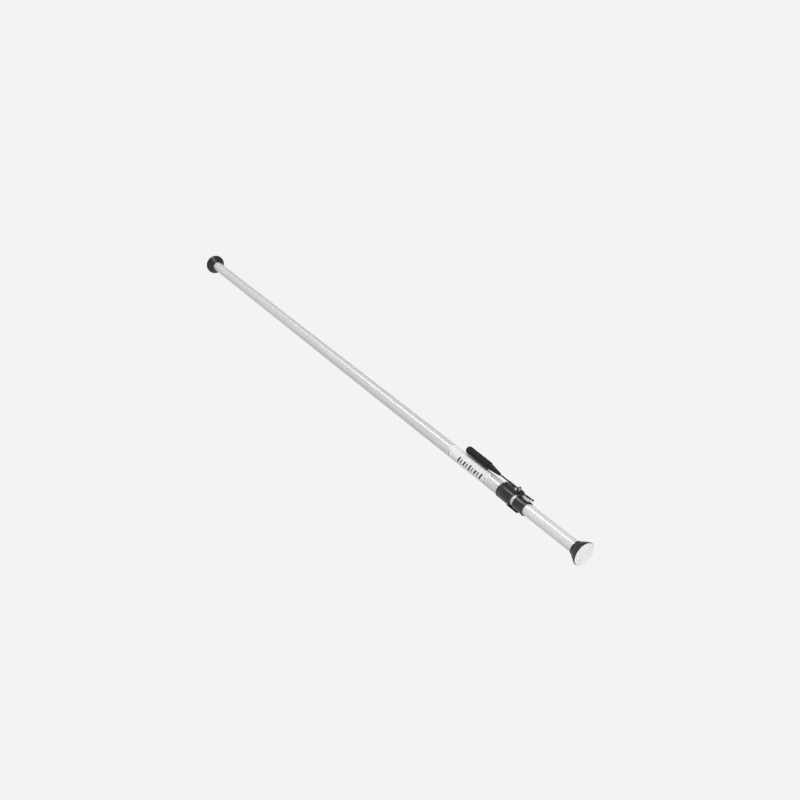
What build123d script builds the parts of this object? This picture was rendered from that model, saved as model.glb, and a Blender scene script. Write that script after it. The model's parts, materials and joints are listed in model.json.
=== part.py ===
"""Telescopic tension bar: two aluminium tubes, two rubber feet, a clamping lever and a sliding brake collar.

Frame: millimetres, +X along the bar from the outer foot's bearing face, +Z towards the lever, origin on the
outer foot's bearing face at the centre line. The bar is drawn closed, with the lever folded flat and clamped.
"""

import os
from math import cos, radians, sin

from build123d import *

# ---- driving dimensions ---------------------------------------------------------------------------------
BAR_LENGTH = 2528.0

OUTER_TUBE_R = 21.0
OUTER_TUBE_BORE_R = 19.5
INNER_TUBE_R = 18.0
INNER_TUBE_BORE_R = 16.5
INNER_TUBE_TAIL_X = 560.0

LABEL_START_X = 1966.0
LABEL_END_X = 2150.0
LABEL_THICKNESS = 0.2

OUTER_FOOT_RIM_R = 45.0
OUTER_FOOT_NECK_R = 23.5
OUTER_FOOT_HEIGHT = 36.0
INNER_FOOT_RIM_R = 35.5
INNER_FOOT_NECK_R = 21.0
INNER_FOOT_HEIGHT = 32.0

FIXED_COLLAR_START_X = 2200.6
FIXED_COLLAR_END_X = 2257.3
FIXED_COLLAR_R = 23.5
SLIDING_COLLAR_START_X = 2268.5
SLIDING_COLLAR_END_X = 2308.4
SLIDING_COLLAR_R = 21.5

LEVER_PIVOT_X = 2254.0
LEVER_PIVOT_Z = 34.0
LEVER_PIN_R = 2.5
LEVER_TRAVEL_DEG = 95.0
LEVER_TILT_DEG = 1.0
CLAMP_STROKE = 5.5
CAM_REACH = 10.5
CAM_HUB_R = 4.6
STEM_R = 2.4
SOCKET_R = 3.4
SOCKET_REACH = 39.0

GRIP_END_X = 2023.5
GRIP_NECK_X = 2128.0
GRIP_CONE_TIP_X = 2175.5
GRIP_R = 12.3
GRIP_CORE_R = 8.0

BRAKE_PIVOT_X = 2291.0
BRAKE_PIVOT_Z = 28.0
BRAKE_PIN_R = 2.0
BRAKE_CLIP_Y = 9.4
TRIGGER_TIP_X = BRAKE_PIVOT_X + 25.5
TRIGGER_ROD_Z = 33.4

RIVET_R = 1.6
SHOULDER_R = 1.7
BLOCK_PIN_R = 1.25
BLOCK_PIN_Z = 25.6
SCREW_R = 1.5
GRUB_SCREW_R = 2.0

# ---- gaps -----------------------------------------------------------------------------------------------
RUNNING_FIT = 0.1
PIN_FIT = 0.05
MOVING_GAP = 0.3

# ---- further dimensions, some worked out from those above -----------------------------------------------
OUTER_TUBE_END_X = FIXED_COLLAR_END_X - 9.3
FOOT_BASE_DEPTH = 12.5
PAD_THICKNESS = 3.5
GUIDE_BORE_R = INNER_TUBE_R + RUNNING_FIT
COLLAR_CHANNEL_Z = 22.0
EAR_INNER_Y = 5.2
EAR_OUTER_Y = 8.6
LUG_INNER_Y = 3.2
LUG_OUTER_Y = 6.0
CAM_HALF_WIDTH = 4.6
GUIDE_TOP_Z = -22.3
GUIDE_BOTTOM_Z = -26.5
GUIDE_START_X = FIXED_COLLAR_END_X - 16.3
GUIDE_END_X = SLIDING_COLLAR_START_X + 16.5
GUIDE_SCREW_X = FIXED_COLLAR_END_X - 3.8
GUIDE_SCREW_Y = 4.6
GRUB_SCREW_X = FIXED_COLLAR_START_X + 13.4
SHOULDER_SCREW_X = SLIDING_COLLAR_START_X + 9.0
SPRING_ANCHOR_X = FIXED_COLLAR_END_X - 10.8
SPRING_AXIS_Z = -24.0
THRUST_FACE_X = LEVER_PIVOT_X + CAM_REACH + MOVING_GAP
BLOCK_PIN_X = THRUST_FACE_X + 17.1
CHANNEL_START_X = LEVER_PIVOT_X - 11.5
BRAKE_WINDOW_START_X = BRAKE_PIVOT_X - 6.5
BRAKE_WINDOW_END_X = BRAKE_PIVOT_X + 10.0
STEM_TIP = -7.2
STEM_PIN_AT = -30.0
THROUGH = 45.0


# ---- small shapes ---------------------------------------------------------------------------------------
def rod_x(radius, x0, x1, y=0.0, z=0.0):
    """A round bar along X."""
    along_x = Plane(origin=(x0, y, z), x_dir=(0, 1, 0), z_dir=(1, 0, 0))
    return along_x * Cylinder(radius, x1 - x0, align=(Align.CENTER, Align.CENTER, Align.MIN))


def rod_y(radius, y0, y1, x, z):
    """A round bar along Y."""
    along_y = Plane(origin=(x, y0, z), x_dir=(1, 0, 0), z_dir=(0, 1, 0))
    return along_y * Cylinder(radius, y1 - y0, align=(Align.CENTER, Align.CENTER, Align.MIN))


def rod_z(radius, z0, z1, x, y):
    """A round bar along Z."""
    return Pos(x, y, z0) * Cylinder(radius, z1 - z0, align=(Align.CENTER, Align.CENTER, Align.MIN))


def pipe(outer_r, inner_r, x0, x1):
    """A tube on the bar's centre line."""
    return rod_x(outer_r, x0, x1) - rod_x(inner_r, x0, x1)


def block(x0, x1, y0, y1, z0, z1):
    """A box given by its six faces."""
    return Pos(x0, y0, z0) * Box(x1 - x0, y1 - y0, z1 - z0, align=(Align.MIN, Align.MIN, Align.MIN))


def slab(points, y0, y1):
    """A plate of thickness y1 - y0 whose outline is given in X and Z."""
    outline = Plane.XZ * make_face(Polyline(*points, close=True))
    return Pos(0, y1, 0) * extrude(outline, y1 - y0)


def turned(lines):
    """A solid of revolution about X, from a closed chain of lines drawn in X and radius."""
    return revolve(make_face(lines), Axis.X)


def in_lever_frame(shape):
    """Puts a shape drawn about the lever's pivot, along X, where the folded lever has it."""
    return Pos(LEVER_PIVOT_X, 0, LEVER_PIVOT_Z) * Rot(0, LEVER_TILT_DEG, 0) * shape


# ---- the two tubes and their feet ------------------------------------------------------------------------
def outer_tube():
    return pipe(OUTER_TUBE_R, OUTER_TUBE_BORE_R, FOOT_BASE_DEPTH, OUTER_TUBE_END_X)


def inner_tube():
    tube = pipe(INNER_TUBE_R, INNER_TUBE_BORE_R, INNER_TUBE_TAIL_X, BAR_LENGTH - FOOT_BASE_DEPTH)
    return tube - tail_rivet_bars(RIVET_R + PIN_FIT)


def label_band():
    return pipe(OUTER_TUBE_R + LABEL_THICKNESS, OUTER_TUBE_R, LABEL_START_X, LABEL_END_X)


class Foot:
    """A flared rubber foot on one end of the bar, drawn inwards from its bearing face at X = 0."""

    lip_start = 1.6
    lip_width = 3.4
    lip_front_step = 0.8
    lip_back_step = 0.6
    lip_wall = 1.8
    flare_bulge = 0.8
    neck_length = 3.5
    waist_step = 0.4
    waist_length = 0.8
    pad_chamfer = 0.7
    washer_r = 7.0
    washer_thickness = 1.2
    head_r = 4.6
    head_height = 2.2
    screw_r = 2.5
    screw_length = 24.0
    plug_length = 30.0

    def __init__(self, rim_r, neck_r, height, tube_r, bore_r):
        self.rim_r = rim_r
        self.neck_r = neck_r
        self.height = height
        self.tube_r = tube_r
        self.bore_r = bore_r
        self.pad_r = rim_r - self.lip_wall
        self.washer_end = PAD_THICKNESS + self.head_height + self.washer_thickness

    def rubber(self):
        lip_end = self.lip_start + self.lip_width
        lip_front_r = self.rim_r - self.lip_front_step
        lip_back_r = self.rim_r - self.lip_back_step
        lip_middle = (self.lip_start + self.lip_width / 2, self.rim_r)
        waist = (self.height - self.neck_length, self.neck_r - self.waist_step)
        flare_middle = ((lip_end + waist[0]) / 2, (lip_back_r + waist[1]) / 2 + self.flare_bulge)
        lines = Polyline((self.lip_start, 0), (self.lip_start, lip_front_r))
        lines += ThreePointArc((self.lip_start, lip_front_r), lip_middle, (lip_end, lip_back_r))
        lines += ThreePointArc((lip_end, lip_back_r), flare_middle, waist)
        lines += Polyline(
            waist,
            (waist[0] + self.waist_length, self.neck_r),
            (self.height, self.neck_r),
            (self.height, 0),
            (self.lip_start, 0),
        )
        body = turned(lines)
        body -= rod_x(self.tube_r, FOOT_BASE_DEPTH, self.height)
        body -= rod_x(self.pad_r, 0, PAD_THICKNESS)
        body -= rod_x(self.washer_r + 0.2, PAD_THICKNESS, self.washer_end)
        body -= rod_x(self.screw_r + PIN_FIT, self.washer_end, FOOT_BASE_DEPTH)
        return body

    def pad(self):
        disc = rod_x(self.pad_r, 0, PAD_THICKNESS)
        return chamfer(disc.edges().sort_by(Axis.X)[0], self.pad_chamfer)

    def washer(self):
        start = PAD_THICKNESS + self.head_height
        return pipe(self.washer_r, self.screw_r + 0.2, start, self.washer_end)

    def screw(self):
        head = rod_x(self.head_r, PAD_THICKNESS, PAD_THICKNESS + self.head_height)
        socket_points = RegularPolygon(1.7, 6)
        face = Plane(origin=(PAD_THICKNESS, 0, 0), z_dir=(1, 0, 0))
        socket = extrude(face * socket_points, 1.5)
        start = PAD_THICKNESS + self.head_height
        return head - socket + rod_x(self.screw_r, start, start + self.screw_length)

    def plug(self):
        body = rod_x(self.bore_r - PIN_FIT, FOOT_BASE_DEPTH, FOOT_BASE_DEPTH + self.plug_length)
        body -= rod_x(self.screw_r + PIN_FIT, FOOT_BASE_DEPTH, FOOT_BASE_DEPTH + self.plug_length)
        for turn in range(4):
            lightening = Rot(45 + 90 * turn, 0, 0) * rod_x(4.0, FOOT_BASE_DEPTH + 5, 60, 0, 10.0)
            body -= lightening
        return body

    def pieces(self, prefix):
        return {
            prefix: self.rubber(),
            prefix + "_pad": self.pad(),
            prefix + "_washer": self.washer(),
            prefix + "_screw": self.screw(),
            prefix + "_plug": self.plug(),
        }


def feet():
    outer = Foot(OUTER_FOOT_RIM_R, OUTER_FOOT_NECK_R, OUTER_FOOT_HEIGHT, OUTER_TUBE_R, OUTER_TUBE_BORE_R)
    inner = Foot(INNER_FOOT_RIM_R, INNER_FOOT_NECK_R, INNER_FOOT_HEIGHT, INNER_TUBE_R, INNER_TUBE_BORE_R)
    turn_round = Pos(BAR_LENGTH, 0, 0) * Rot(0, 180, 0)
    made = outer.pieces("outer_foot")
    for name, shape in inner.pieces("inner_foot").items():
        made[name] = turn_round * shape
    return made


# ---- inside the tubes ------------------------------------------------------------------------------------
def tail_bush():
    """Sleeve on the hidden end of the inner tube, running in the outer tube's bore."""
    sleeve = pipe(OUTER_TUBE_BORE_R - RUNNING_FIT, INNER_TUBE_R, INNER_TUBE_TAIL_X, INNER_TUBE_TAIL_X + 40)
    return sleeve - tail_rivet_bars(RIVET_R + PIN_FIT)


def tail_rivet_bars(radius):
    x = INNER_TUBE_TAIL_X + 20
    return rod_z(radius, -19.1, -14.8, x, 0) + rod_z(radius, 14.8, 19.1, x, 0)


def tail_rivets():
    x = INNER_TUBE_TAIL_X + 20
    bulbs = rod_z(2.6, -16.4, -14.8, x, 0) + rod_z(2.6, 14.8, 16.4, x, 0)
    keep_inside = rod_x(INNER_TUBE_BORE_R - PIN_FIT, x - 5, x + 5)
    return tail_rivet_bars(RIVET_R) + (bulbs & keep_inside)


def mouth_bush():
    """Flanged guide bush in the mouth of the outer tube."""
    sleeve = pipe(OUTER_TUBE_BORE_R - PIN_FIT, GUIDE_BORE_R, OUTER_TUBE_END_X - 34, OUTER_TUBE_END_X)
    flange = pipe(OUTER_TUBE_R - 0.2, GUIDE_BORE_R, OUTER_TUBE_END_X, OUTER_TUBE_END_X + 3)
    return sleeve + flange


# ---- fixed collar ----------------------------------------------------------------------------------------
def fixed_collar():
    """Clamp ring on the outer tube, with the lever's stem rest and the two ears that hold its pin."""
    ring = rod_x(FIXED_COLLAR_R, FIXED_COLLAR_START_X, FIXED_COLLAR_END_X)
    ring = fillet(ring.edges().filter_by(GeomType.CIRCLE), 1.2)
    groove_x = FIXED_COLLAR_START_X + 3.0
    ring -= pipe(FIXED_COLLAR_R + 1, FIXED_COLLAR_R - 0.4, groove_x, groove_x + 0.9)
    rest = block(FIXED_COLLAR_START_X + 4.9, LEVER_PIVOT_X - 11.0, -4.5, 4.5, 15.0, 29.0)
    rest = fillet(rest.edges().filter_by(Axis.X).group_by(Axis.Z)[-1], 2.0)
    ears = block(LEVER_PIVOT_X - 10.5, FIXED_COLLAR_END_X - 1.2, -EAR_OUTER_Y, EAR_OUTER_Y, 15.0, 24.5)
    ears += slab(
        [
            (LEVER_PIVOT_X - 9.5, 22.6),
            (LEVER_PIVOT_X - 5.4, 36.0),
            (LEVER_PIVOT_X + 5.4, 36.0),
            (LEVER_PIVOT_X + 11.4, 22.6),
        ],
        -EAR_OUTER_Y,
        EAR_OUTER_Y,
    )
    ears += rod_y(5.8, -EAR_OUTER_Y, EAR_OUTER_Y, LEVER_PIVOT_X, LEVER_PIVOT_Z)
    body = ring + rest + ears
    past_ears_x = FIXED_COLLAR_END_X + 20.0
    body -= block(CHANNEL_START_X, past_ears_x, -EAR_INNER_Y, EAR_INNER_Y, COLLAR_CHANNEL_Z, THROUGH)
    body -= rod_x(OUTER_TUBE_R, FIXED_COLLAR_START_X - 10, OUTER_TUBE_END_X + 3)
    body -= rod_x(INNER_TUBE_R + 0.6, FIXED_COLLAR_START_X - 10, past_ears_x)
    body -= rod_y(LEVER_PIN_R + PIN_FIT, -THROUGH, THROUGH, LEVER_PIVOT_X, LEVER_PIVOT_Z)
    body -= block(GUIDE_START_X - 0.3, past_ears_x, -7.8, 7.8, -THROUGH, GUIDE_TOP_Z)
    body -= guide_screw_bars(SCREW_R + PIN_FIT)
    body -= grub_screw_bars(GRUB_SCREW_R + PIN_FIT, -23.1, -21.05)
    return body


def grub_screw_bars(radius, z0, z1):
    bars = Part()
    for side in (-1, 1):
        bars += Pos(GRUB_SCREW_X, 0, 0) * Rot(side * 25.0, 0, 0) * rod_z(radius, z0, z1, 0, 0)
    return bars


def collar_grub_screws():
    return grub_screw_bars(GRUB_SCREW_R, -23.1, -21.05) - grub_screw_bars(1.0, -23.2, -22.0)


# ---- guide bar under the two collars ---------------------------------------------------------------------
def guide_screw_bars(radius):
    bars = Part()
    for side in (-1, 1):
        bars += rod_z(radius, GUIDE_BOTTOM_Z + 0.4, -19.0, GUIDE_SCREW_X, side * GUIDE_SCREW_Y)
    return bars


def guide_bar():
    bar = block(GUIDE_START_X, GUIDE_END_X, -7.5, 7.5, GUIDE_BOTTOM_Z, GUIDE_TOP_Z)
    bar = fillet(bar.edges().filter_by(Axis.Z), 2.5)
    bar = chamfer(bar.faces().sort_by(Axis.Z)[0].edges(), 0.8)
    bar -= block(SPRING_ANCHOR_X - 2.5, GUIDE_END_X - 1.8, -2.4, 2.4, -25.4, GUIDE_TOP_Z)
    slot_start = SHOULDER_SCREW_X - CLAMP_STROKE
    slot_r = SHOULDER_R + MOVING_GAP
    slot = block(slot_start, SHOULDER_SCREW_X, -slot_r, slot_r, -THROUGH, -20)
    slot += rod_z(slot_r, -THROUGH, -20, slot_start, 0) + rod_z(slot_r, -THROUGH, -20, SHOULDER_SCREW_X, 0)
    bar -= slot
    bar -= guide_screw_bars(SCREW_R + PIN_FIT)
    for side in (-1, 1):
        bar -= rod_z(2.75, -THROUGH, GUIDE_BOTTOM_Z + 1.7, GUIDE_SCREW_X, side * GUIDE_SCREW_Y)
    bar -= rod_z(1.0 + PIN_FIT, -THROUGH, GUIDE_TOP_Z, SPRING_ANCHOR_X, 0)
    return bar


def guide_screws():
    screws = guide_screw_bars(SCREW_R)
    for side in (-1, 1):
        y = side * GUIDE_SCREW_Y
        screws += rod_z(2.65, GUIDE_BOTTOM_Z + 0.3, GUIDE_BOTTOM_Z + 1.6, GUIDE_SCREW_X, y)
        screws -= rod_z(1.0, GUIDE_BOTTOM_Z, GUIDE_BOTTOM_Z + 0.9, GUIDE_SCREW_X, y)
    return screws


def spring_anchor_pin():
    return rod_z(1.0, GUIDE_BOTTOM_Z + 0.2, GUIDE_TOP_Z - 0.2, SPRING_ANCHOR_X, 0)


def return_spring():
    """Tension spring between the anchor pin and the shoulder screw, with a closed eye at each end."""
    wire_r = 0.25
    coil_r = 1.1
    coil_start = SPRING_ANCHOR_X + 2.2
    coil_end = SHOULDER_SCREW_X - 3.0
    turns = 16
    path = Helix(pitch=(coil_end - coil_start) / turns, height=coil_end - coil_start, radius=coil_r)
    section = Plane(origin=path @ 0, z_dir=path % 0) * Circle(wire_r)
    along_x = Plane(origin=(coil_start, 0, SPRING_AXIS_Z), x_dir=(0, 1, 0), z_dir=(1, 0, 0))
    coil = along_x * sweep(section, path=path, is_frenet=True)
    small_eye = Pos(SPRING_ANCHOR_X, 0, SPRING_AXIS_Z) * Torus(1.45, wire_r)
    large_eye = Pos(SHOULDER_SCREW_X, 0, SPRING_AXIS_Z) * Torus(SHOULDER_R + 0.35, wire_r)
    return Compound(children=[coil, small_eye, large_eye])


# ---- clamping lever --------------------------------------------------------------------------------------
def lever_pin():
    shank = rod_y(LEVER_PIN_R, -EAR_OUTER_Y - 0.2, EAR_OUTER_Y + 2.2, LEVER_PIVOT_X, LEVER_PIVOT_Z)
    head = rod_y(4.2, -EAR_OUTER_Y - 2.0, -EAR_OUTER_Y, LEVER_PIVOT_X, LEVER_PIVOT_Z)
    head = fillet(head.edges().group_by(Axis.Y)[0], 0.8)
    groove_y = EAR_OUTER_Y + 0.7
    groove = rod_y(4, groove_y, groove_y + 0.8, LEVER_PIVOT_X, LEVER_PIVOT_Z)
    groove -= rod_y(1.9, groove_y, groove_y + 0.8, LEVER_PIVOT_X, LEVER_PIVOT_Z)
    return shank + head - groove


def retaining_clip(x, z, y0, shaft_r):
    """An open-sided clip snapped into a pin's groove."""
    clip = rod_y(shaft_r + 2.0, y0, y0 + 0.7, x, z) - rod_y(shaft_r + 0.02, y0, y0 + 0.7, x, z)
    return clip - block(x - 0.8 * shaft_r, x + 0.8 * shaft_r, y0, y0 + 0.7, z, z + 10)


def lever_pin_clip():
    return retaining_clip(LEVER_PIVOT_X, LEVER_PIVOT_Z, EAR_OUTER_Y + 0.75, 1.9)


def lever_cam():
    """Clamping cam. Its face is an involute, so the thrust block moves evenly as the lever turns."""
    drop = CLAMP_STROKE / radians(LEVER_TRAVEL_DEG)
    face = []
    steps = 8
    for step in range(steps + 1):
        angle = radians(LEVER_TRAVEL_DEG) * step / steps
        reach = CAM_REACH - drop * angle
        x = LEVER_PIVOT_X + reach * cos(angle) + drop * sin(angle)
        z = LEVER_PIVOT_Z + reach * sin(angle) - drop * cos(angle)
        face.append((x, z))
    top = (LEVER_PIVOT_X, LEVER_PIVOT_Z + CAM_HUB_R)
    bottom = (LEVER_PIVOT_X, LEVER_PIVOT_Z - CAM_HUB_R)
    nose = (LEVER_PIVOT_X + CAM_REACH - 2.2, LEVER_PIVOT_Z - drop - 1.4)
    outline = Spline(*face)
    outline += Polyline(face[-1], top, bottom, nose, face[0])
    cam = Pos(0, CAM_HALF_WIDTH, 0) * extrude(Plane.XZ * make_face(outline), 2 * CAM_HALF_WIDTH)
    cam += rod_y(CAM_HUB_R, -CAM_HALF_WIDTH, CAM_HALF_WIDTH, LEVER_PIVOT_X, LEVER_PIVOT_Z)
    return cam - rod_y(LEVER_PIN_R + PIN_FIT, -THROUGH, THROUGH, LEVER_PIVOT_X, LEVER_PIVOT_Z)


def stem_socket():
    """Black tube welded to the cam's hub, into which the stem is pinned."""
    socket = rod_x(SOCKET_R, -SOCKET_REACH, 0) - rod_x(STEM_R + PIN_FIT, -SOCKET_REACH, STEM_TIP + 0.2)
    socket -= rod_y(1.0 + PIN_FIT, -THROUGH, THROUGH, STEM_PIN_AT, 0)
    return in_lever_frame(socket) - rod_y(CAM_HUB_R, -THROUGH, THROUGH, LEVER_PIVOT_X, LEVER_PIVOT_Z)


def lever_stem():
    stem = rod_x(STEM_R, GRIP_END_X + 12 - LEVER_PIVOT_X, STEM_TIP)
    stem -= rod_y(1.0 + PIN_FIT, -THROUGH, THROUGH, STEM_PIN_AT, 0)
    return in_lever_frame(stem)


def stem_pin():
    return in_lever_frame(rod_y(1.0, -SOCKET_R + 0.2, SOCKET_R - 0.2, STEM_PIN_AT, 0))


def grip_core():
    """Hard core of the grip, which shows as the cone at its front end."""
    tip = GRIP_CONE_TIP_X - LEVER_PIVOT_X
    neck = GRIP_NECK_X - LEVER_PIVOT_X
    back = GRIP_END_X - LEVER_PIVOT_X + 8.0
    lines = Polyline(
        (tip, 0),
        (tip, 3.7),
        (tip - 1.2, 4.4),
        (neck + 1.5, 10.0),
        (neck, 10.4),
        (neck, GRIP_CORE_R),
        (back, GRIP_CORE_R),
        (back, 0),
        (tip, 0),
    )
    return in_lever_frame(turned(lines) - rod_x(STEM_R + PIN_FIT, back + 3.9, tip + 1))


def grip_sleeve():
    """Soft knurled sleeve over the grip's core."""
    neck = GRIP_NECK_X - LEVER_PIVOT_X
    end = GRIP_END_X - LEVER_PIVOT_X
    back = end + 8.0
    round_r = 9.0
    inset = round_r * (1 - cos(radians(45)))
    shoulder = (end + round_r, GRIP_R)
    lines = Polyline((end, 0), (end, GRIP_R - round_r))
    lines += ThreePointArc((end, GRIP_R - round_r), (end + inset, GRIP_R - inset), shoulder)
    lines += Polyline(
        shoulder,
        (neck - 1.0, GRIP_R - 1.0),
        (neck, GRIP_R - 1.8),
        (neck, GRIP_CORE_R),
        (back, GRIP_CORE_R),
        (back, 0),
        (end, 0),
    )
    return in_lever_frame(turned(lines))


# ---- sliding collar --------------------------------------------------------------------------------------
def sliding_collar():
    """Collar that the lever moves, with the lugs of the brake and of the thrust block."""
    ring = rod_x(SLIDING_COLLAR_R, SLIDING_COLLAR_START_X, SLIDING_COLLAR_END_X)
    ring = fillet(ring.edges().filter_by(GeomType.CIRCLE), 0.8)
    lip = rod_x(SLIDING_COLLAR_R + 0.8, SLIDING_COLLAR_END_X - 4.0, SLIDING_COLLAR_END_X)
    lip = fillet(lip.edges().filter_by(GeomType.CIRCLE), 0.8)
    lug_start = BRAKE_PIVOT_X - 11.8
    lugs = block(lug_start, BRAKE_PIVOT_X + 5.0, -LUG_OUTER_Y, LUG_OUTER_Y, 15.0, 27.0)
    lugs += slab(
        [
            (lug_start, 26.5),
            (lug_start + 1.0, 31.0),
            (BRAKE_PIVOT_X - 3.0, 32.0),
            (BRAKE_PIVOT_X + 4.6, 26.5),
        ],
        -LUG_OUTER_Y,
        LUG_OUTER_Y,
    )
    lugs += rod_y(4.6, -LUG_OUTER_Y, LUG_OUTER_Y, BRAKE_PIVOT_X, BRAKE_PIVOT_Z)
    tongue = block(SLIDING_COLLAR_END_X - 6.4, SLIDING_COLLAR_END_X + 4.6, -3.5, 3.5, 17.0, 20.8)
    tongue = fillet(tongue.edges().filter_by(Axis.Z).group_by(Axis.X)[-1], 2.0)
    body = ring + lip + lugs + tongue
    over_ring_z = SLIDING_COLLAR_R + 0.2
    body -= block(lug_start - 1, BRAKE_WINDOW_END_X, -LUG_INNER_Y, LUG_INNER_Y, over_ring_z, THROUGH)
    body -= block(BRAKE_WINDOW_START_X, BRAKE_WINDOW_END_X, -LUG_INNER_Y, LUG_INNER_Y, 10.0, THROUGH)
    body -= rod_x(GUIDE_BORE_R + 1.2, SLIDING_COLLAR_START_X - 5, SLIDING_COLLAR_END_X - 3.0)
    body -= rod_x(INNER_TUBE_R + MOVING_GAP, SLIDING_COLLAR_START_X - 5, SLIDING_COLLAR_END_X + 10)
    body -= rod_y(BRAKE_PIN_R + PIN_FIT, -THROUGH, THROUGH, BRAKE_PIVOT_X, BRAKE_PIVOT_Z)
    body -= rod_y(BLOCK_PIN_R + PIN_FIT, -THROUGH, THROUGH, BLOCK_PIN_X, BLOCK_PIN_Z)
    body -= rod_z(SCREW_R + PIN_FIT, -THROUGH, -15, SHOULDER_SCREW_X, 0)
    return body


def collar_liner():
    """Low-friction sleeve between the sliding collar and the inner tube, with a window for the brake."""
    liner = pipe(GUIDE_BORE_R + 1.15, GUIDE_BORE_R, SLIDING_COLLAR_START_X + 0.5, SLIDING_COLLAR_END_X - 3.2)
    half_width = LUG_INNER_Y + 0.3
    window_start = BRAKE_WINDOW_START_X - 0.5
    window_end = BRAKE_WINDOW_END_X + 0.5
    return liner - block(window_start, window_end, -half_width, half_width, 5.0, THROUGH)


def thrust_block():
    """Steel wedge on the sliding collar that the lever's cam pushes."""
    nose_back = THRUST_FACE_X + 13.5
    underside = SLIDING_COLLAR_R + 0.4
    nose = slab(
        [
            (THRUST_FACE_X, underside),
            (THRUST_FACE_X, 36.4),
            (THRUST_FACE_X + 1.0, 37.0),
            (THRUST_FACE_X + 8.2, 36.4),
            (nose_back, 34.2),
            (nose_back, underside),
        ],
        -CAM_HALF_WIDTH,
        CAM_HALF_WIDTH,
    )
    tail_back = nose_back + 5.3
    tail = slab(
        [
            (nose_back - 2.0, 22.2),
            (nose_back - 2.0, 34.8),
            (nose_back, 34.2),
            (tail_back, 31.4),
            (tail_back, 22.2),
        ],
        -LUG_INNER_Y + 0.1,
        LUG_INNER_Y - 0.1,
    )
    return nose + tail - rod_y(BLOCK_PIN_R + PIN_FIT, -THROUGH, THROUGH, BLOCK_PIN_X, BLOCK_PIN_Z)


def thrust_block_pin():
    return rod_y(BLOCK_PIN_R, -LUG_OUTER_Y + 0.1, LUG_OUTER_Y - 0.1, BLOCK_PIN_X, BLOCK_PIN_Z)


def shoulder_screw():
    """Holds the sliding collar down on the guide bar and limits its stroke."""
    head_top = GUIDE_BOTTOM_Z - 0.3
    head_bottom = head_top - 1.8
    thread_start = GUIDE_TOP_Z + 0.5
    head = rod_z(3.6, head_bottom, head_top, SHOULDER_SCREW_X, 0)
    head = fillet(head.edges().group_by(Axis.Z)[0], 0.5)
    shank = rod_z(SHOULDER_R, head_top, thread_start, SHOULDER_SCREW_X, 0)
    thread = rod_z(SCREW_R, thread_start, thread_start + 2.3, SHOULDER_SCREW_X, 0)
    slot = block(SHOULDER_SCREW_X - 4, SHOULDER_SCREW_X + 4, -0.5, 0.5, head_bottom - 1, head_bottom + 0.7)
    return head + shank + thread - slot


# ---- brake and its trigger -------------------------------------------------------------------------------
def brake_cam():
    """Eccentric pad that bites on the inner tube when the bar is squeezed."""
    pad_r = 8.2
    centre_x = BRAKE_PIVOT_X + 1.4
    centre_z = INNER_TUBE_R + MOVING_GAP + pad_r
    half_width = LUG_INNER_Y - 0.3
    disc = rod_y(pad_r, -half_width, half_width, centre_x, centre_z)
    lower = disc & block(BRAKE_PIVOT_X - 5.4, BRAKE_PIVOT_X + 7.6, -10, 10, 0, BRAKE_PIVOT_Z)
    hub = rod_y(4.4, -half_width, half_width, BRAKE_PIVOT_X, BRAKE_PIVOT_Z)
    return lower + hub - rod_y(BRAKE_PIN_R + PIN_FIT, -THROUGH, THROUGH, BRAKE_PIVOT_X, BRAKE_PIVOT_Z)


def brake_pin():
    shank = rod_y(BRAKE_PIN_R, -8.4, BRAKE_CLIP_Y + 1.2, BRAKE_PIVOT_X, BRAKE_PIVOT_Z)
    head = rod_y(3.2, -8.9, -7.5, BRAKE_PIVOT_X, BRAKE_PIVOT_Z)
    groove_bar = rod_y(4, BRAKE_CLIP_Y, BRAKE_CLIP_Y + 0.8, BRAKE_PIVOT_X, BRAKE_PIVOT_Z)
    groove_core = rod_y(1.5, BRAKE_CLIP_Y, BRAKE_CLIP_Y + 0.8, BRAKE_PIVOT_X, BRAKE_PIVOT_Z)
    return shank + fillet(head.edges().group_by(Axis.Y)[0], 0.6) - (groove_bar - groove_core)


def brake_pin_clip():
    return retaining_clip(BRAKE_PIVOT_X, BRAKE_PIVOT_Z, BRAKE_CLIP_Y + 0.05, 1.5)


def release_trigger():
    """Bent sheet wing that straddles the lugs and turns with the brake."""
    sheet = 1.1
    top_z = 32.4
    wing_end = BRAKE_PIVOT_X + 19.5
    flange_inner_y = LUG_OUTER_Y + MOVING_GAP
    flange_outer_y = flange_inner_y + sheet
    outline = [
        (BRAKE_PIVOT_X - 7.0, 30.4),
        (BRAKE_PIVOT_X - 4.0, top_z),
        (wing_end, top_z),
        (wing_end, 25.2),
        (BRAKE_PIVOT_X + 13.0, 23.6),
        (BRAKE_PIVOT_X - 2.0, 23.6),
    ]
    wing = Part()
    for y0 in (-flange_outer_y, flange_inner_y):
        wing += slab(outline, y0, y0 + sheet)
        wing += rod_y(4.5, y0, y0 + sheet, BRAKE_PIVOT_X, BRAKE_PIVOT_Z)
    bridge_start = BRAKE_PIVOT_X + 9.5
    wing += block(bridge_start, wing_end, -flange_outer_y, flange_outer_y, top_z - 1.0, top_z)
    wing += block(wing_end - sheet, wing_end, -flange_outer_y, flange_outer_y, 26.4, top_z)
    return wing - rod_y(BRAKE_PIN_R + PIN_FIT, -THROUGH, THROUGH, BRAKE_PIVOT_X, BRAKE_PIVOT_Z)


def trigger_rod():
    return rod_x(1.0, BRAKE_PIVOT_X + 7.0, TRIGGER_TIP_X + 0.5, 0, TRIGGER_ROD_Z)


def trigger_tip():
    ball = Pos(TRIGGER_TIP_X, 0, TRIGGER_ROD_Z) * Sphere(3.0)
    return ball - rod_x(1.0, TRIGGER_TIP_X - 10, TRIGGER_TIP_X + 0.5, 0, TRIGGER_ROD_Z)


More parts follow.
